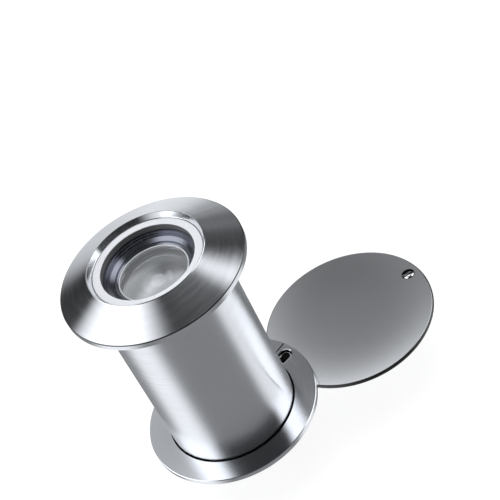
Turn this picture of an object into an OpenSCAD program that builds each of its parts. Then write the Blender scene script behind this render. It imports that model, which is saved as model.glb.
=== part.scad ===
// Door viewer with a swivelling privacy cover.
// The axis of the barrel is Z, and +Z points to the street.
// z = 0 is the outer face of the door, where the street flange seats.
// +X points from the axis to the cover's pivot. The cover is drawn swung open.

/* [Street flange] */
// Outer diameter of the street flange
flange_d = 39; // [37:0.5:44]
// Thickness of the flange at its rim
rim_t = 1.3; // [1:0.1:2]
// Diameter at the top of the cone
lip_d = 25; // [24.6:0.1:26]
// Height of the cone above the rim
cone_h = 3.3; // [2.8:0.1:4]

/* [Barrel] */
// Outer diameter of the barrel, which fills the hole in the door
barrel_d = 28; // [28:0.1:29]
// Gap between the flanges when screwed fully in, the thinnest door
door_min = 43.5; // [42:0.5:50]
// How far the two halves unscrew
travel = 15; // [9:1.5:15]
// Pitch of the thread between the halves
pitch = 1.5; // [1.5:0.5:2]

/* [Room flange] */
// Outer diameter of the room flange
room_d = 38.2; // [37.8:0.2:42]
// Thickness of the room flange
room_t = 1.4; // [1.4:0.1:2]

/* [Optics] */
// Diameter of the mouth that holds the lens stack
mouth_d = 23.44; // [23.4:0.02:23.6]
// Radius of curvature of the front lens
dome_r = 30; // [26:1:40]
// Visible diameter of the front lens
dome_d = 14.8; // [14:0.1:15]
// Diameter of the hole that the eye looks into
eye_d = 16.4; // [14:0.2:16.4]

/* [Cover] */
// Diameter of the cover
cover_d = 38.6; // [38:0.2:42]
// Thickness of the cover
cover_t = 1; // [0.8:0.1:1.5]
// Distance from the axis to the pivot
pivot_x = 16.6; // [16.4:0.1:16.8]
// How far the cover is drawn open, where 0 is closed
cover_open = 168; // [0:1:360]
// Diameter of the finger knob
knob_d = 5.2; // [4:0.1:7]
// Height of the finger knob
knob_h = 2.2; // [1.8:0.1:4]

/* [Hidden] */
$fn = 128;

eps = 0.01;                       // overshoot of a cutting tool
edge = 0.12;                      // small broken edges
gap = 0.05;                       // air between stacked pieces

flange_r = flange_d / 2;
barrel_r = barrel_d / 2;
mouth_r = mouth_d / 2;
lip_z = rim_t + cone_h;
ring_z = lip_z - 1.15;            // front face of the retaining ring, below the lip
stack_r = mouth_r - 0.12;         // outer radius of everything in the mouth

// heights of the lens stack, from the street inwards
ring_bottom = ring_z - 1.5;
baffle_top = ring_bottom - gap;
shoulder_z = -0.1;
baffle_bottom = shoulder_z + gap;
front_bottom = -3.6;
cell_top = -1.6;
cell_bottom = front_bottom - gap - 1;
middle_top = cell_bottom - gap;
middle_bottom = middle_top - 2.9;
spacer_bottom = middle_bottom - gap - 1.2;
rear_top = spacer_bottom - gap;
rear_bottom = rear_top - 2.3;
seat_z = rear_bottom - gap;
seat_t = 1.5;
seat_hole_r = 8.6;

lens_r = 10.4;                    // edge of the front lens
inner_lens_r = 9.6;               // edge of the two lenses behind it
dome_edge_r = dome_d / 2;

// the thread between the two halves
thread_depth = 0.6;
crest_r = 12.35;
thread_bore_r = crest_r + 0.07;
barrel_end = -door_min + 0.3;
tube_top = barrel_end + travel + 12.2;
room_z = -door_min;
room_back = room_z - room_t;

// the eyepiece, held from inside the tube
tube_bore_r = 10.4;
eye_r = eye_d / 2;
eye_seat = room_z + 3.3;
eye_rim_t = 2;
eye_rim_top = eye_seat + gap + eye_rim_t;
eye_lens_r = tube_bore_r - 0.3;
eye_curve_r = 22;
seal_t = 0.5;
lock_t = 1.8;

// the cover and its pivot
room_r = room_d / 2;
relief_r = barrel_r + 0.35;       // inside it the flange's face is cut back, clear of the barrel
relief_depth = 0.2;
washer_t = 0.3;
cover_r = cover_d / 2;
cover_top = room_back - washer_t;
cover_back = cover_top - cover_t;
pin_r = 1.15;
pin_run = 0.06;                   // running clearance of the pivot
pocket_w = 2.9;
pocket_depth = 0.9;
pocket_floor = room_z - pocket_depth;
pocket_inner_x = barrel_r + 0.8;
wire_r = 0.17;                    // the clip is bent from round wire
clip_gap = 0.04;
groove_r = 0.92;
head_r = 2.2;
head_t = 0.8;
slit_w = 0.3;
slit_depth = 0.6;
slit_angle = 8.3;                 // beside the pocket
screw_r = 1.36;
screw_neck_r = 0.62;
screw_sink = 0.62;

// a turned piece: its outline in radius and height
module turned(outline) {
    rotate_extrude()
        polygon(outline);
}

// a plain ring between two radii and two heights
module ring(outer, inner, top, bottom) {
    turned([[inner, bottom], [outer, bottom], [outer, top], [inner, top]]);
}

// a ring with its four edges broken
module soft_ring(outer, inner, top, bottom, c = edge) {
    turned([[inner + c, bottom], [outer - c, bottom], [outer, bottom + c], [outer, top - c],
        [outer - c, top], [inner + c, top], [inner, top - c], [inner, bottom + c]]);
}

// the cap of a sphere that rises from base_z, inside edge_r
module dome_up(curve_r, edge_r, base_z) {
    sag = curve_r - sqrt(curve_r * curve_r - edge_r * edge_r);
    intersection() {
        translate([0, 0, base_z + sag - curve_r])
            sphere(curve_r, $fn = 256);
        translate([0, 0, base_z - eps])
            cylinder(h = sag + 1, r = edge_r);
    }
}

// the ball that cuts a hollow of edge_r into a face at face_z, on side 1 above or -1 below
module hollow(curve_r, edge_r, face_z, side) {
    rise = sqrt(curve_r * curve_r - edge_r * edge_r);
    translate([0, 0, face_z + side * rise])
        sphere(curve_r, $fn = 256);
}

// points down a thread of ring grooves, at the two radii given
function thread(r_flat, r_root, top, count) = [
    for (i = [0 : count - 1])
        for (p = [[r_flat, -0.15], [r_root, -0.5], [r_root, -0.75], [r_flat, -1.1]])
            [p[0], top + p[1] * pitch / 1.5 - i * pitch]
];

// street flange and barrel, turned in one piece and threaded inside
module outer_body() {
    bore_top = seat_z - seat_t;
    grooves = floor((bore_top - barrel_end - 3) / pitch);
    color("silver")
        turned(concat(
            [[barrel_r - edge, barrel_end], [barrel_r, barrel_end + edge], [barrel_r, 0],
                [flange_r - edge, 0], [flange_r, edge], [flange_r, rim_t - edge],
                [flange_r - edge, rim_t], [lip_d / 2, lip_z - 0.08], [lip_d / 2 - 0.1, lip_z],
                [lip_d / 2 - 0.22, lip_z], [mouth_r + 0.06, ring_z + 0.1], [mouth_r, ring_z],
                [mouth_r, seat_z], [seat_hole_r, seat_z], [seat_hole_r, bore_top],
                [thread_bore_r, bore_top]],
            thread(thread_bore_r, thread_bore_r + thread_depth, bore_top - 2, grooves),
            [[thread_bore_r, barrel_end + 0.3], [thread_bore_r + 0.3, barrel_end]]));
}

// flat matt ring that screws into the mouth and holds the lens stack
module retaining_ring() {
    color("gainsboro")
        soft_ring(stack_r, 9.95, ring_z, ring_bottom, 0.08);
}

// dark stepped ring between the retaining ring and the front lens
module baffle_cone() {
    step = 0.4;
    lip = dome_edge_r + 0.1;
    color("dimgray")
        turned([[lip, baffle_bottom], [stack_r, baffle_bottom], [stack_r, baffle_top],
            [lip + 5 * step, baffle_top], [lip + 5 * step, baffle_top - step],
            [lip + 4 * step, baffle_top - step], [lip + 4 * step, baffle_top - 2 * step],
            [lip + 3.4 * step, baffle_top - 2 * step], [lip + 1.4 * step, baffle_bottom + 1.5 * step],
            [lip + 1.4 * step, baffle_bottom + step], [lip + 0.5 * step, baffle_bottom + step],
            [lip, baffle_bottom + 0.5 * step]]);
}

// rubber ring round the edge of the front lens
module front_seal() {
    section_r = (mouth_r - lens_r) / 2 - 0.06;
    color("black")
        rotate_extrude()
            translate([(mouth_r + lens_r) / 2, (shoulder_z + cell_top) / 2])
                circle(section_r, $fn = 48);
}

// wide-angle lens, domed to the street and deeply hollow behind
module front_lens() {
    color("lightblue")
        difference() {
            union() {
                dome_up(dome_r, dome_edge_r, shoulder_z);
                ring(lens_r, 0, shoulder_z, front_bottom);
            }
            hollow(8.2, 6.6, front_bottom, -1);
        }
}

// L-shaped ring that centres the front lens
module front_lens_cell() {
    color("dimgray")
        turned([[7.2, cell_bottom], [stack_r, cell_bottom], [stack_r, cell_top],
            [lens_r + gap, cell_top], [lens_r + gap, front_bottom - gap], [7.2, front_bottom - gap]]);
}

// black tube round the two lenses behind the front one
module objective_sleeve() {
    color("black")
        ring(stack_r, inner_lens_r + gap, middle_top, rear_bottom);
}

// second lens, a domed and hollow one
module middle_lens() {
    color("lightblue")
        difference() {
            union() {
                dome_up(24, 7, middle_top);
                ring(inner_lens_r, 0, middle_top, middle_bottom);
            }
            hollow(10, 6.4, middle_bottom, -1);
        }
}

// ring between the second and third lenses
module objective_spacer() {
    color("black")
        ring(inner_lens_r, 8, middle_bottom - gap, spacer_bottom);
}

// third lens, hollow in front and flat behind
module rear_objective_lens() {
    color("lightblue")
        difference() {
            ring(inner_lens_r, 0, rear_top, rear_bottom);
            hollow(20, 7.5, rear_top, 1);
        }
}

// room flange and threaded tube, turned in one piece
module inner_body() {
    grooves = floor((tube_top - room_z - 1.2) / pitch);
    funnel_r = eye_r + 1.6;
    color("silver")
        difference() {
            turned(concat(
                [[tube_bore_r, tube_top], [crest_r - 0.3, tube_top], [crest_r, tube_top - 0.3]],
                thread(crest_r, crest_r - thread_depth, tube_top - 0.4, grooves),
                [[crest_r, room_z - relief_depth], [relief_r, room_z - relief_depth],
                    [relief_r, room_z], [room_r - edge, room_z], [room_r, room_z - edge],
                    [room_r, room_back + 2 * edge], [room_r - 2 * edge, room_back],
                    [funnel_r, room_back], [funnel_r - 0.2, room_back + 0.3],
                    [eye_r, eye_seat - 1.6], [eye_r, eye_seat], [tube_bore_r, eye_seat]]));
            translate([pivot_x, 0, pocket_floor])
                cylinder(h = pocket_depth + eps, d = pocket_w);
            translate([pocket_inner_x, -pocket_w / 2, pocket_floor])
                cube([pivot_x - pocket_inner_x, pocket_w, pocket_depth + eps]);
            translate([pivot_x, 0, room_back - eps])
                cylinder(h = room_t, r = pin_r + pin_run);
            rotate([0, 0, slit_angle])
                translate([barrel_r + 0.4, -slit_w / 2, room_z - slit_depth])
                    cube([room_r, slit_w, slit_depth + eps]);
        }
}

// thin black disc that stops stray light in the tube
module field_stop() {
    top = (tube_top + eye_rim_top) / 2;
    color("black")
        turned([[5, top], [5, top - 0.15], [6, top - 1], [tube_bore_r - 0.1, top - 1],
            [tube_bore_r - 0.1, top]]);
}

// lens that the eye looks into, domed on both sides
module eyepiece_lens() {
    rim_bottom = eye_seat + gap;
    dome_edge = eye_r - 0.3;
    color("lightblue")
        union() {
            dome_up(eye_curve_r, dome_edge, eye_rim_top);
            ring(eye_lens_r, 0, eye_rim_top, rim_bottom);
            mirror([0, 0, 1])
                dome_up(eye_curve_r, dome_edge, -rim_bottom);
        }
}

// flat rubber ring on the inner side of the eyepiece lens
module eyepiece_seal() {
    color("black")
        ring(eye_lens_r, eye_r + 0.2, eye_rim_top + gap + seal_t, eye_rim_top + gap);
}

// threaded ring that locks the eyepiece, with two notches for a spanner
module eyepiece_lock_ring() {
    bottom = eye_rim_top + 2 * gap + seal_t;
    color("silver")
        difference() {
            ring(tube_bore_r - 0.08, eye_r + 0.2, bottom + lock_t, bottom);
            for (side = [0, 180])
                rotate([0, 0, side])
                    translate([eye_r - 0.5, -0.75, bottom + lock_t / 2])
                        cube([3, 1.5, lock_t]);
        }
}

// U-shaped wire clip that slides over the pivot's groove, in the pocket
module pivot_clip() {
    bend_r = groove_r + 0.03 + wire_r;
    legs = pivot_x - pocket_inner_x - 0.2;
    color("lightgray")
        translate([pivot_x, 0, pocket_floor + clip_gap + wire_r]) {
            rotate([0, 0, -90])
                rotate_extrude(angle = 180)
                    translate([bend_r, 0])
                        circle(wire_r, $fn = 32);
            for (side = [-1, 1])
                translate([0, side * bend_r, 0])
                    rotate([0, -90, 0])
                        cylinder(h = legs, r = wire_r, $fn = 32);
        }
}

// spring washer that gives the cover its friction
module pivot_washer() {
    color("gray")
        translate([pivot_x, 0, 0])
            ring(2.3, pin_r + pin_run, room_back, cover_top);
}

// moves what is drawn closed, over the eyepiece, to where the cover is drawn
module swung() {
    translate([pivot_x, 0, 0])
        rotate([0, 0, cover_open])
            translate([-pivot_x, 0, 0])
                children();
}

// round privacy cover, pierced for its rivet and for the knob's screw
module cover_plate() {
    color("darkgray")
        swung()
            difference() {
                turned([[0, cover_back], [cover_r - 0.3, cover_back], [cover_r - 0.1, cover_back + 0.1],
                    [cover_r, cover_back + 0.3], [cover_r, cover_top - 0.3],
                    [cover_r - 0.1, cover_top - 0.1], [cover_r - 0.3, cover_top], [0, cover_top]]);
                translate([pivot_x, 0, cover_back - eps])
                    cylinder(h = cover_t + 2 * eps, r = pin_r);
                translate([-pivot_x, 0, cover_back - eps])
                    cylinder(h = cover_t + 2 * eps, r = screw_neck_r + 0.03);
                translate([-pivot_x, 0, 0])
                    turned([[0, cover_top - screw_sink - eps], [screw_neck_r + 0.03, cover_top - screw_sink],
                        [screw_r + 0.14, cover_top - 0.12], [screw_r + 0.14, cover_top + eps],
                        [0, cover_top + eps]]);
            }
}

// rivet fixed in the cover, which turns in the room flange
module pivot_rivet() {
    groove_bottom = pocket_floor + clip_gap / 2;
    groove_top = pocket_floor + 1.5 * clip_gap + 2 * wire_r;
    tail = groove_top + 0.12;
    color("silver")
        translate([pivot_x, 0, 0])
            turned([[0, cover_back - head_t], [head_r - 0.5, cover_back - head_t],
                [head_r - 0.15, cover_back - head_t + 0.2], [head_r, cover_back - 0.3],
                [head_r, cover_back], [pin_r, cover_back], [pin_r, groove_bottom],
                [groove_r, groove_bottom], [groove_r, groove_top], [pin_r - 0.1, groove_top],
                [pin_r - 0.1, tail - 0.05], [pin_r - 0.2, tail], [0, tail]]);
}

// low turned knob on the room side of the cover
module finger_knob() {
    knob_r = knob_d / 2;
    foot = knob_r - 0.5;
    bottom = cover_back - knob_h;
    color("silver")
        swung()
            translate([-pivot_x, 0, 0])
                turned([[0, bottom], [knob_r - 0.6, bottom], [knob_r - 0.2, bottom + 0.2],
                    [knob_r, bottom + 0.6], [knob_r, bottom + 0.9], [knob_r - 0.25, bottom + 1.2],
                    [foot, cover_back - 0.5], [foot, cover_back], [screw_neck_r, cover_back],
                    [screw_neck_r, cover_back - 1.3], [0, cover_back - 1.3]]);
}

// slotted countersunk screw that holds the knob, sunk in the cover's street side
module knob_screw() {
    head_z = cover_top - 0.1;
    color("lightgray")
        swung()
            translate([-pivot_x, 0, 0])
                difference() {
                    turned([[0, cover_back - 1.25], [screw_neck_r - 0.02, cover_back - 1.25],
                        [screw_neck_r - 0.02, cover_top - screw_sink], [screw_r - 0.06, head_z - 0.1],
                        [screw_r - 0.1, head_z], [0, head_z]]);
                    translate([-screw_r - 0.1, -0.16, head_z - 0.28])
                        cube([2 * screw_r + 0.2, 0.32, 0.4]);
                }
}

outer_body();
retaining_ring();
baffle_cone();
front_seal();
front_lens();
front_lens_cell();
objective_sleeve();
middle_lens();
objective_spacer();
rear_objective_lens();
inner_body();
field_stop();
eyepiece_lens();
eyepiece_seal();
eyepiece_lock_ring();
pivot_clip();
pivot_washer();
cover_plate();
pivot_rivet();
finger_knob();
knob_screw();
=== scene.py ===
import math
import bpy
from mathutils import Matrix, Vector


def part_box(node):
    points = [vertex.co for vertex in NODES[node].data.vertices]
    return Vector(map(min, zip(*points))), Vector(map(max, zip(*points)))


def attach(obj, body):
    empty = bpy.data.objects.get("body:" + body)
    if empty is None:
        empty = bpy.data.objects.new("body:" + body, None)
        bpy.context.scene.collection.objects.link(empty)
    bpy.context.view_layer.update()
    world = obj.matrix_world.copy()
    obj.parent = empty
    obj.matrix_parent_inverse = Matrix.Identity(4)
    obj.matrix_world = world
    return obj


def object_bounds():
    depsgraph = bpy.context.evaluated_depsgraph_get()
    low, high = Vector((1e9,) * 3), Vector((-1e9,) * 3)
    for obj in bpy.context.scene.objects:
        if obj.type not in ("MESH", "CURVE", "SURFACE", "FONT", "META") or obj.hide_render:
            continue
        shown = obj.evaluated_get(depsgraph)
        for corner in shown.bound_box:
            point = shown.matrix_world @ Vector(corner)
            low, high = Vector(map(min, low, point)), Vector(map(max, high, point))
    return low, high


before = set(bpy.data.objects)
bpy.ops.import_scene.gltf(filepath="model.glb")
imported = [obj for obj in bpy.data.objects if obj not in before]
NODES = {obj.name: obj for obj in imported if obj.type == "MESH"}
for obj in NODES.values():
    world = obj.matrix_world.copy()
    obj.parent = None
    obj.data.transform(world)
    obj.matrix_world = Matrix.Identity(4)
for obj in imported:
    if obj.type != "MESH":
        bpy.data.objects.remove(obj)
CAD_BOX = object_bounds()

MM = 0.001

# ---------------------------------------------------------------- sizes
outer_low, outer_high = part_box("outer_body")
inner_low, inner_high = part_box("inner_body")
cover_low, cover_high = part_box("cover_plate")
ring_low, ring_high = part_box("retaining_ring")
rivet_low, rivet_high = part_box("pivot_rivet")
screw_low, screw_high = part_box("knob_screw")

flange_r = outer_high.x
room_r = inner_high.x
cover_centre = (cover_low + cover_high) / 2
cover_r = (cover_high.x - cover_low.x) / 2
pivot = (rivet_low + rivet_high) / 2
screw = (screw_low + screw_high) / 2
screw_r = (screw_high.x - screw_low.x) / 2

RIM_T = 1.3 * MM                        # thickness of the street flange at its rim
BARREL_R = 14 * MM
RING_INNER_R = 9.95 * MM
ROOM_T = 1.4 * MM                       # thickness of the room flange
POCKET_DEPTH = 0.9 * MM
POCKET_HALF_W = 1.45 * MM
POCKET_RUN = 1.75 * MM                  # from the pivot inwards to the centre of the pocket's round end
SLIT_ANGLE = math.radians(8.3)
SLIT_HALF_W = 0.15 * MM
TRAVEL = 15 * MM                        # how far the room half unscrews
LENS_EDGE_R = 7.34 * MM                 # visible edge of the front lens
LENS_EDGE_Z = 0.02 * MM
SINK_SHADE_R = 1.5 * MM                       # painted shade round the screw in the cover
COVER_CAMBER = 0.34 * MM                # height of the cover's faint dome, drawn as bump
SCREW_DOME = 0.42 * MM                  # height of the screw head's dome, drawn as bump
POCKET_BEVEL = 0.16 * MM                # depth of the bevel round the pocket, drawn as bump

room_z = inner_low.z + ROOM_T           # front face of the room flange
table_z = CAD_BOX[0].z - TRAVEL         # below the room half when it is fully unscrewed


# ---------------------------------------------------------------- camera
VIEW_AZIMUTH = math.radians(23.72)      # turned from +Y towards +X
VIEW_ELEVATION = math.radians(41.06)
VIEW_ROLL = math.radians(27.0)
VIEW_DISTANCE = 0.3071
VIEW_TARGET = Vector((0.02092, 0.00086, -0.01406))
FOCAL_IN_FRAMES = 2.974                 # focal length as a multiple of the frame's width


def make_camera():
    forward = Vector((math.sin(VIEW_AZIMUTH) * math.cos(VIEW_ELEVATION),
                      math.cos(VIEW_AZIMUTH) * math.cos(VIEW_ELEVATION),
                      -math.sin(VIEW_ELEVATION)))
    right = forward.cross(Vector((0, 0, 1))).normalized()
    up = right.cross(forward)
    tilted_up = up * math.cos(VIEW_ROLL) + right * math.sin(VIEW_ROLL)
    tilted_right = forward.cross(tilted_up)
    data = bpy.data.cameras.new("camera")
    data.sensor_width = 36
    data.sensor_fit = "HORIZONTAL"
    data.lens = 36 * FOCAL_IN_FRAMES
    data.clip_start = 0.01
    data.clip_end = 20
    camera = bpy.data.objects.new("camera", data)
    bpy.context.collection.objects.link(camera)
    turn = Matrix((tilted_right, tilted_up, -forward)).transposed()
    camera.matrix_world = Matrix.Translation(VIEW_TARGET - forward * VIEW_DISTANCE) @ turn.to_4x4()
    bpy.context.scene.camera = camera


make_camera()


# ---------------------------------------------------------------- node helpers
def new_material(name):
    material = bpy.data.materials.new(name)
    material.use_nodes = True
    tree = material.node_tree
    return material, tree, tree.nodes["Principled BSDF"]


def math_node(tree, operation, a, b=None):
    """one operation on sockets or numbers"""
    node = tree.nodes.new("ShaderNodeMath")
    node.operation = operation
    for socket, value in zip(node.inputs, (a, b)):
        if value is None:
            continue
        if isinstance(value, (int, float)):
            socket.default_value = value
        else:
            tree.links.new(value, socket)
    return node.outputs[0]


def object_place(tree):
    return tree.nodes.new("ShaderNodeTexCoord").outputs["Object"]


def separate(tree, vector):
    split = tree.nodes.new("ShaderNodeSeparateXYZ")
    tree.links.new(vector, split.inputs[0])
    return split.outputs["X"], split.outputs["Y"], split.outputs["Z"]


def length(tree, x, y):
    square = math_node(tree, "ADD", math_node(tree, "MULTIPLY", x, x), math_node(tree, "MULTIPLY", y, y))
    return math_node(tree, "SQRT", square)


def polar(tree, centre):
    """radius, angle and height about a vertical axis through centre, in metres and radians"""
    x, y, z = separate(tree, object_place(tree))
    x = math_node(tree, "SUBTRACT", x, centre[0])
    y = math_node(tree, "SUBTRACT", y, centre[1])
    return length(tree, x, y), math_node(tree, "ARCTAN2", y, x), z


def combine(tree, x, y, z):
    node = tree.nodes.new("ShaderNodeCombineXYZ")
    for socket, value in zip(node.inputs, (x, y, z)):
        if isinstance(value, (int, float)):
            socket.default_value = value
        else:
            tree.links.new(value, socket)
    return node.outputs[0]


def noise(tree, vector, scale, detail=3.0, rough=0.6):
    node = tree.nodes.new("ShaderNodeTexNoise")
    node.inputs["Scale"].default_value = scale
    node.inputs["Detail"].default_value = detail
    node.inputs["Roughness"].default_value = rough
    tree.links.new(vector, node.inputs["Vector"])
    return node.outputs["Fac"]


def set_range(node, from_low, from_high, to_low, to_high):
    names = ("From Min", "From Max", "To Min", "To Max")
    for name, number in zip(names, (from_low, from_high, to_low, to_high)):
        node.inputs[name].default_value = number


def remap(tree, value, low, high, from_low=0.0, from_high=1.0):
    """value stretched from one range to another, and held at its ends"""
    node = tree.nodes.new("ShaderNodeMapRange")
    tree.links.new(value, node.inputs["Value"])
    set_range(node, from_low, from_high, low, high)
    return node.outputs["Result"]


def band(tree, value, low, high, soft):
    """1 where value lies between low and high, and 0 outside"""
    rise = remap(tree, value, 0.0, 1.0, low - soft, low)
    fall = remap(tree, value, 1.0, 0.0, high, high + soft)
    return math_node(tree, "MULTIPLY", rise, fall)


def both(tree, mask_a, mask_b):
    """1 where both masks are 1"""
    return math_node(tree, "MULTIPLY", mask_a, mask_b)


def largest(tree, masks):
    total = masks[0]
    for mask in masks[1:]:
        total = math_node(tree, "MAXIMUM", total, mask)
    return total


def mix_numbers(tree, factor, value, number):
    """value where factor is 0, and number where it is 1"""
    node = tree.nodes.new("ShaderNodeMix")
    node.data_type = "FLOAT"
    tree.links.new(factor, node.inputs["Factor"])
    tree.links.new(value, node.inputs[2])
    node.inputs[3].default_value = number
    return node.outputs[0]


def mix_colours(tree, factor, colour_a, colour_b):
    node = tree.nodes.new("ShaderNodeMix")
    node.data_type = "RGBA"
    tree.links.new(factor, node.inputs["Factor"])
    for socket, value in zip((node.inputs[6], node.inputs[7]), (colour_a, colour_b)):
        if isinstance(value, tuple):
            socket.default_value = (*value, 1)
        else:
            tree.links.new(value, socket)
    return node.outputs[2]


def paint_shade(tree, shader, mask, tone=0.012, roughness=0.6):
    """paint shade: turn the finish dark and dull where mask is 1"""
    colour = shader.inputs["Base Color"].links[0].from_socket
    tree.links.new(mix_colours(tree, mask, colour, (tone, tone, tone)), shader.inputs["Base Color"])
    rough = shader.inputs["Roughness"].links[0].from_socket
    tree.links.new(mix_numbers(tree, mask, rough, roughness), shader.inputs["Roughness"])


def add_bump(tree, shader, height, strength, distance):
    """a bump on top of any that the shader already has"""
    node = tree.nodes.new("ShaderNodeBump")
    if shader.inputs["Normal"].links:
        tree.links.new(shader.inputs["Normal"].links[0].from_socket, node.inputs["Normal"])
    node.inputs["Strength"].default_value = strength
    node.inputs["Distance"].default_value = distance
    tree.links.new(height, node.inputs["Height"])
    tree.links.new(node.outputs["Normal"], shader.inputs["Normal"])


def add_dome(tree, shader, radius, edge_r, power, rise):
    """a bump that falls by rise from the centre to edge_r"""
    reach = math_node(tree, "POWER", math_node(tree, "DIVIDE", radius, edge_r), power)
    add_bump(tree, shader, math_node(tree, "MULTIPLY", reach, -1.0), 1.0, rise)


# ---------------------------------------------------------------- materials
HEIGHT_SHARE = 1.31                     # so that grooves go on down a wall, where the radius stands still
GROOVE_WANDER = 1.5                     # how much a groove's tone changes on its way round


def tint(tree, shader, pattern, tone, contrast):
    """base colour that follows the pattern, a little darker and a little lighter than tone"""
    dark = tuple(channel * (1 - contrast) for channel in tone)
    light = tuple(min(1, channel * (1 + contrast)) for channel in tone)
    tree.links.new(mix_colours(tree, pattern, dark, light), shader.inputs["Base Color"])


def turned_metal(name, tone, roughness, anisotropy, groove=0.35 * MM, contrast=0.06):
    """metal turned on a lathe: fine grooves run round the axis, and the highlight lies across them"""
    material, tree, shader = new_material(name)
    radius, angle, height = polar(tree, (0, 0))
    along = math_node(tree, "ADD", radius, math_node(tree, "MULTIPLY", height, HEIGHT_SHARE))
    across = math_node(tree, "MULTIPLY", along, 1 / groove)
    wander_x = math_node(tree, "MULTIPLY", math_node(tree, "COSINE", angle), GROOVE_WANDER)
    wander_y = math_node(tree, "MULTIPLY", math_node(tree, "SINE", angle), GROOVE_WANDER)
    fine = noise(tree, combine(tree, across, wander_x, wander_y), 1.0)
    cloud = noise(tree, object_place(tree), 90.0, 2.0)
    tint(tree, shader, fine, tone, contrast)
    rough = remap(tree, cloud, roughness - 0.02, roughness + 0.02)
    rough = math_node(tree, "ADD", remap(tree, fine, -0.03, 0.03), rough)
    tree.links.new(rough, shader.inputs["Roughness"])
    shader.inputs["Metallic"].default_value = 1
    shader.inputs["Anisotropic"].default_value = anisotropy
    shader.inputs["Anisotropic Rotation"].default_value = 0.25
    tangent = tree.nodes.new("ShaderNodeTangent")
    tangent.direction_type = "RADIAL"
    tangent.axis = "Z"
    tree.links.new(tangent.outputs[0], shader.inputs["Tangent"])
    add_bump(tree, shader, fine, 0.03, 0.01 * MM)
    return material


def plain_finish(name, tone, roughness, metallic=0.0, grain=600.0, contrast=0.12, bump=0.05):
    """a matt or blasted finish with a fine even grain"""
    material, tree, shader = new_material(name)
    speck = noise(tree, object_place(tree), grain, 4.0)
    tint(tree, shader, speck, tone, contrast)
    tree.links.new(remap(tree, speck, roughness - 0.06, roughness + 0.06), shader.inputs["Roughness"])
    shader.inputs["Metallic"].default_value = metallic
    add_bump(tree, shader, speck, bump, 0.05 * MM)
    return material


def glass(name, tone, transmission, mirror=0.0):
    """glass with a milky share, and a share that mirrors as a coated lens does"""
    material, tree, shader = new_material(name)
    haze = noise(tree, object_place(tree), 300.0, 2.0)
    light = tuple(channel * 1.05 for channel in tone)
    tree.links.new(mix_colours(tree, haze, tone, light), shader.inputs["Base Color"])
    tree.links.new(remap(tree, haze, 0.0, 0.02), shader.inputs["Roughness"])
    shader.inputs["Transmission Weight"].default_value = transmission
    shader.inputs["Metallic"].default_value = mirror
    shader.inputs["IOR"].default_value = 1.52
    return material


def dress(node, material):
    mesh = NODES[node].data
    mesh.materials.clear()
    mesh.materials.append(material)


def street_metal():
    """street flange and barrel: painted shade as a dark line along the rim's upper edge, and a duller barrel
    """
    material = turned_metal("satin_street", (0.86, 0.875, 0.905), 0.13, 0.9, contrast=0.10)
    tree = material.node_tree
    shader = tree.nodes["Principled BSDF"]
    radius, _, height = polar(tree, (0, 0))
    line = 0.16 * MM
    # painted shade: a dark line along the rim's upper edge
    rim_shade = both(tree, band(tree, radius, flange_r - line, flange_r + MM, 0.02 * MM),
               band(tree, height, RIM_T - line, RIM_T + MM, 0.02 * MM))
    paint_shade(tree, shader, rim_shade, 0.10, 0.3)
    barrel = band(tree, height, outer_low.z - MM, -0.05 * MM, 0.1 * MM)
    rough = shader.inputs["Roughness"].links[0].from_socket
    rough = math_node(tree, "ADD", rough, math_node(tree, "MULTIPLY", barrel, 0.10))
    tree.links.new(rough, shader.inputs["Roughness"])
    return material


def from_pocket_line(tree):
    """distance from the line on the face that the pocket's round end is swept along"""
    x, y, _ = separate(tree, object_place(tree))
    from_pivot = math_node(tree, "SUBTRACT", x, pivot.x)
    inwards = math_node(tree, "ADD", math_node(tree, "MINIMUM", from_pivot, 0.0), POCKET_RUN)
    inwards = math_node(tree, "MINIMUM", inwards, 0.0)
    outwards = math_node(tree, "MAXIMUM", from_pivot, 0.0)
    return length(tree, math_node(tree, "ADD", inwards, outwards), y)


def room_metal():
    """room flange: painted shade in the pocket, in the slit and in a line under the barrel's foot, and a bevel
    round the pocket
    """
    material = turned_metal("satin_room", (0.86, 0.875, 0.905), 0.15, 0.9)
    tree = material.node_tree
    shader = tree.nodes["Principled BSDF"]
    radius, angle, height = polar(tree, (0, 0))
    from_pocket = from_pocket_line(tree)
    hair = 0.01 * MM
    below = band(tree, height, room_z - POCKET_DEPTH - 0.25 * MM, room_z - 0.03 * MM, hair)
    # painted shade on the pocket's floor and walls
    pocket_shade = both(tree, band(tree, from_pocket, -MM, POCKET_HALF_W + 0.02 * MM, 0.02 * MM), below)
    # painted shade in the slit
    off_slit = math_node(tree, "ABSOLUTE", math_node(tree, "SUBTRACT", angle, SLIT_ANGLE))
    off_slit = math_node(tree, "MULTIPLY", off_slit, radius)
    slit_shade = both(tree, band(tree, off_slit, -MM, SLIT_HALF_W + 0.04 * MM, hair), below)
    slit_shade = both(tree, slit_shade, band(tree, radius, BARREL_R, room_r + MM, 0.05 * MM))
    # painted shade in the line round the barrel's foot
    foot_shade = both(tree, band(tree, radius, BARREL_R - 0.25 * MM, BARREL_R + 0.36 * MM, 0.02 * MM),
                band(tree, height, room_z - 0.3 * MM, room_z - 0.05 * MM, 0.05 * MM))
    paint_shade(tree, shader, largest(tree, (pocket_shade, slit_shade, foot_shade)))
    bevel = remap(tree, from_pocket, 0.0, 1.0, POCKET_HALF_W, POCKET_HALF_W + 0.3 * MM)
    add_bump(tree, shader, bevel, 1.0, POCKET_BEVEL)
    return material


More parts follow.
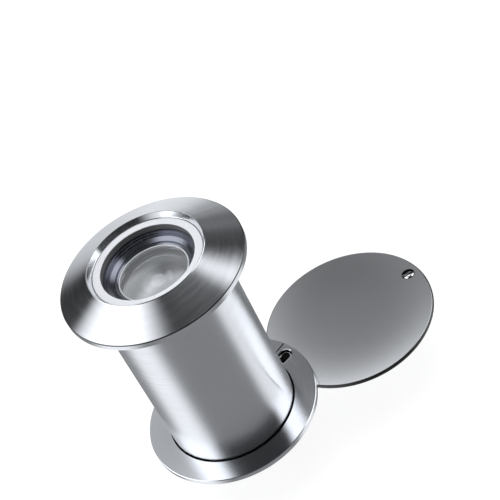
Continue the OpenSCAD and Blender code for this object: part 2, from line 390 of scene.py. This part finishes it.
def cover_metal():
    """satin cover, very slightly cambered, with painted shade along its edge and in the countersink round its
    screw
    """
    material = plain_finish("cover_satin", (0.86, 0.87, 0.89), 0.22, 1.0, 7000.0, 0.03, 0.004)
    tree = material.node_tree
    shader = tree.nodes["Principled BSDF"]
    radius, _, height = polar(tree, cover_centre)
    # painted shade: a dark band along the cover's edge
    edge = band(tree, radius, cover_r - 0.24 * MM, cover_r + MM, 0.03 * MM)
    paint_shade(tree, shader, edge, 0.10, 0.4)
    from_screw = polar(tree, screw)[0]
    # painted shade in the countersink round the screw
    sink_shade = both(tree, band(tree, from_screw, -MM, SINK_SHADE_R, 0.02 * MM),
                band(tree, height, cover_high.z - 0.9 * MM, cover_high.z - 0.02 * MM, 0.01 * MM))
    paint_shade(tree, shader, sink_shade)
    add_dome(tree, shader, radius, cover_r, 4.0, COVER_CAMBER)
    return material


def ring_finish():
    """matt face, with painted shade on its inner wall"""
    material = plain_finish("matt_ring", (0.84, 0.85, 0.88), 0.5, 0.0, 1500.0, 0.05)
    tree = material.node_tree
    radius, _, height = polar(tree, (0, 0))
    # painted shade on the ring's inner wall
    wall_shade = both(tree, band(tree, radius, 0.0, RING_INNER_R + 0.07 * MM, 0.02 * MM),
                band(tree, height, ring_low.z - MM, ring_high.z - 0.09 * MM, 0.02 * MM))
    paint_shade(tree, tree.nodes["Principled BSDF"], wall_shade, 0.16, 0.35)
    return material


def rivet_finish():
    """bright steel, with painted shade on its tail in the pocket"""
    material = plain_finish("rivet_steel", (0.9, 0.9, 0.9), 0.14, 1.0)
    tree = material.node_tree
    height = separate(tree, object_place(tree))[2]
    # painted shade on the tail, which sits in the pocket
    tail_shade = band(tree, height, room_z - POCKET_DEPTH - 0.2 * MM, room_z + MM, 0.02 * MM)
    paint_shade(tree, tree.nodes["Principled BSDF"], tail_shade)
    return material


def screw_finish():
    """polished slotted head, slightly domed, with painted shade on all below its top face, which darkens the
    slot
    """
    material = plain_finish("screw_steel", (0.92, 0.92, 0.92), 0.12, 1.0)
    tree = material.node_tree
    shader = tree.nodes["Principled BSDF"]
    radius, _, height = polar(tree, screw)
    # painted shade in the slot and on the head below its top face
    paint_shade(tree, shader, band(tree, height, screw_low.z, screw_high.z - 0.03 * MM, 0.01 * MM))
    add_dome(tree, shader, radius, screw_r, 2.0, SCREW_DOME)
    return material


satin_street = street_metal()
satin_room = room_metal()
satin_knob = turned_metal("satin_knob", (0.86, 0.86, 0.87), 0.2, 0.8)
cover_satin = cover_metal()
matt_ring = ring_finish()
dark_metal = turned_metal("dark_anodised", (0.30, 0.31, 0.36), 0.26, 0.8, groove=0.2 * MM)
bezel_steel = plain_finish("bezel_steel", (0.88, 0.89, 0.91), 0.35, 0.3, 900.0)
rivet_steel = rivet_finish()
screw_steel = screw_finish()
black = plain_finish("black_matt", (0.015, 0.015, 0.017), 0.6)
rubber = plain_finish("seal_rubber", (0.03, 0.03, 0.03), 0.7)
bright = plain_finish("bright_steel", (0.9, 0.9, 0.9), 0.14, 1.0)
clear_glass = glass("clear_glass", (0.93, 0.95, 0.97), 0.95)
front_glass = glass("front_glass", (0.84, 0.86, 0.88), 0.78, 0.33)
milky_glass = glass("milky_glass", (0.55, 0.56, 0.58), 0.4)

LOOKS = {
    satin_street: ("outer_body",),
    satin_room: ("inner_body",),
    satin_knob: ("finger_knob",),
    cover_satin: ("cover_plate",),
    matt_ring: ("retaining_ring",),
    dark_metal: ("baffle_cone", "front_lens_cell", "eyepiece_lock_ring"),
    black: ("objective_sleeve", "objective_spacer", "field_stop"),
    rubber: ("front_seal", "eyepiece_seal"),
    bezel_steel: ("pivot_clip",),
    bright: ("pivot_washer",),
    rivet_steel: ("pivot_rivet",),
    screw_steel: ("knob_screw",),
    front_glass: ("front_lens",),
    clear_glass: ("rear_objective_lens", "eyepiece_lens"),
    milky_glass: ("middle_lens",),
}
for look, names in LOOKS.items():
    for node_name in names:
        dress(node_name, look)


# ---------------------------------------------------------------- pieces made here
def lathe(name, outline, segments, material, body):
    """a closed ring turned about the vertical axis from a closed outline of radius and height"""
    count = len(outline)
    verts, faces = [], []
    for step in range(segments):
        angle = 2 * math.pi * step / segments
        verts += [(r * math.cos(angle), r * math.sin(angle), z) for r, z in outline]
        here, there = step * count, (step + 1) % segments * count
        for k in range(count):
            m = (k + 1) % count
            faces.append((here + k, there + k, there + m, here + m))
    mesh = bpy.data.meshes.new(name)
    mesh.from_pydata(verts, [], faces)
    mesh.polygons.foreach_set("use_smooth", [True] * len(mesh.polygons))
    mesh.materials.append(material)
    piece = bpy.data.objects.new(name, mesh)
    bpy.context.collection.objects.link(piece)
    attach(piece, body)
    return piece


def make_lens_bezel():
    """the thin pale bead round the visible edge of the front lens"""
    bead_r, corners = 0.15 * MM, 12
    turns = [2 * math.pi * k / corners for k in range(corners)]
    outline = [(LENS_EDGE_R + bead_r * math.cos(t), LENS_EDGE_Z + bead_r * math.sin(t)) for t in turns]
    lathe("lens_bezel", outline, 160, bezel_steel, "street_half")


make_lens_bezel()


# ---------------------------------------------------------------- stage and light
def make_table():
    """a plain pale floor that the metal doesn't mirror, and that lets the low cards shine through"""
    reach = 3.0
    corners = ((-reach, -reach), (reach, -reach), (reach, reach), (-reach, reach))
    mesh = bpy.data.meshes.new("table")
    mesh.from_pydata([(x, y, table_z) for x, y in corners], [], [(0, 1, 2, 3)])
    table = bpy.data.objects.new("table", mesh)
    bpy.context.collection.objects.link(table)
    material = plain_finish("pale_table", (0.3, 0.3, 0.3), 0.8, 0.0, 60.0, 0.01, 0.0)
    shader = material.node_tree.nodes["Principled BSDF"]
    shader.inputs["Specular IOR Level"].default_value = 0
    shader.inputs["Emission Color"].default_value = (1, 1, 1, 1)
    shader.inputs["Emission Strength"].default_value = 0.85
    mesh.materials.append(material)
    table.visible_glossy = False
    table.visible_shadow = False


# The studio is a dark tent with soft cards in it, and grey light from below. Each card has an azimuth (from +Y
# towards +X), an elevation, a half width and a half height in degrees, then its softness and its strength.
CARDS = (
    (296, 40, 32, 36, 0.35, 1.50),    # left, above the horizon
    (288, -40, 26, 45, 0.60, 0.76),   # left, below it
    (283, 4, 48, 13, 0.40, 0.90),     # left, at the horizon, for the wall of the mouth
    (106, 26, 27, 34, 0.20, 1.55),    # right, above the horizon
    (117, -42, 22, 44, 0.45, 0.66),   # right, below it
    (14, -10, 34, 13, 0.50, 0.56),    # low behind
    (32, -10, 10, 10, 0.70, 0.25),
    (43, 4, 10, 9, 0.60, 0.32),
    (52, 17, 10, 10, 0.60, 0.10),
    (30, 68, 50, 15, 0.40, 0.90),     # high behind
    (352, 46, 27, 14, 0.30, 0.56),
    (46, 46, 13, 11, 0.60, 0.20),
    (25, 30, 30, 8, 0.60, 0.14),
)
TENT = 0.03                             # light from between the cards, above the horizon
GROUND = 0.25                           # and below it
BACKDROP = 1.08                         # what the camera sees instead: plain white


def card_light(tree, direction, azimuth, elevation, half_width, half_height, softness, strength):
    """how bright one soft card is in the direction looked in"""
    turn = math.radians(azimuth)
    x, y, z = direction
    across = math_node(tree, "SUBTRACT", math_node(tree, "MULTIPLY", x, math.cos(turn)),
                       math_node(tree, "MULTIPLY", y, math.sin(turn)))
    along = math_node(tree, "ADD", math_node(tree, "MULTIPLY", x, math.sin(turn)),
                      math_node(tree, "MULTIPLY", y, math.cos(turn)))
    side = math_node(tree, "ABSOLUTE", math_node(tree, "ARCTAN2", across, along))
    side = math_node(tree, "DIVIDE", side, math.radians(half_width))
    rise = math_node(tree, "SUBTRACT", math_node(tree, "ARCSINE", z), math.radians(elevation))
    rise = math_node(tree, "DIVIDE", math_node(tree, "ABSOLUTE", rise), math.radians(half_height))
    # a rounded rectangle: the fourth root of the sum of fourth powers
    side = math_node(tree, "MULTIPLY", side, side)
    rise = math_node(tree, "MULTIPLY", rise, rise)
    reach = math_node(tree, "SQRT", length(tree, side, rise))
    edge = tree.nodes.new("ShaderNodeMapRange")
    edge.interpolation_type = "SMOOTHSTEP"
    tree.links.new(reach, edge.inputs["Value"])
    set_range(edge, 1 - softness, 1 + softness, strength, 0.0)
    return edge.outputs["Result"]


def make_world():
    world = bpy.data.worlds.new("studio")
    bpy.context.scene.world = world
    world.use_nodes = True
    tree = world.node_tree
    direction = separate(tree, tree.nodes.new("ShaderNodeTexCoord").outputs["Generated"])
    total = remap(tree, direction[2], GROUND, TENT, -0.3, 0.0)
    for card in CARDS:
        total = math_node(tree, "ADD", total, card_light(tree, direction, *card))
    seen = tree.nodes.new("ShaderNodeLightPath").outputs["Is Camera Ray"]
    total = mix_numbers(tree, seen, total, BACKDROP)
    background = tree.nodes["Background"]
    background.inputs["Color"].default_value = (0.955, 0.975, 1.0, 1)
    tree.links.new(total, background.inputs["Strength"])


def overhead_light():
    """a wide soft lamp for the matt surfaces and the table; the bright metal doesn't mirror it"""
    data = bpy.data.lights.new("overhead", "AREA")
    data.shape = "DISK"
    data.size = 1.6
    data.energy = 12.5
    light = bpy.data.objects.new("overhead", data)
    bpy.context.collection.objects.link(light)
    light.location = (0, 0, 1.5)
    light.visible_glossy = False


make_table()
make_world()
overhead_light()
bpy.context.scene.view_settings.view_transform = "Standard"
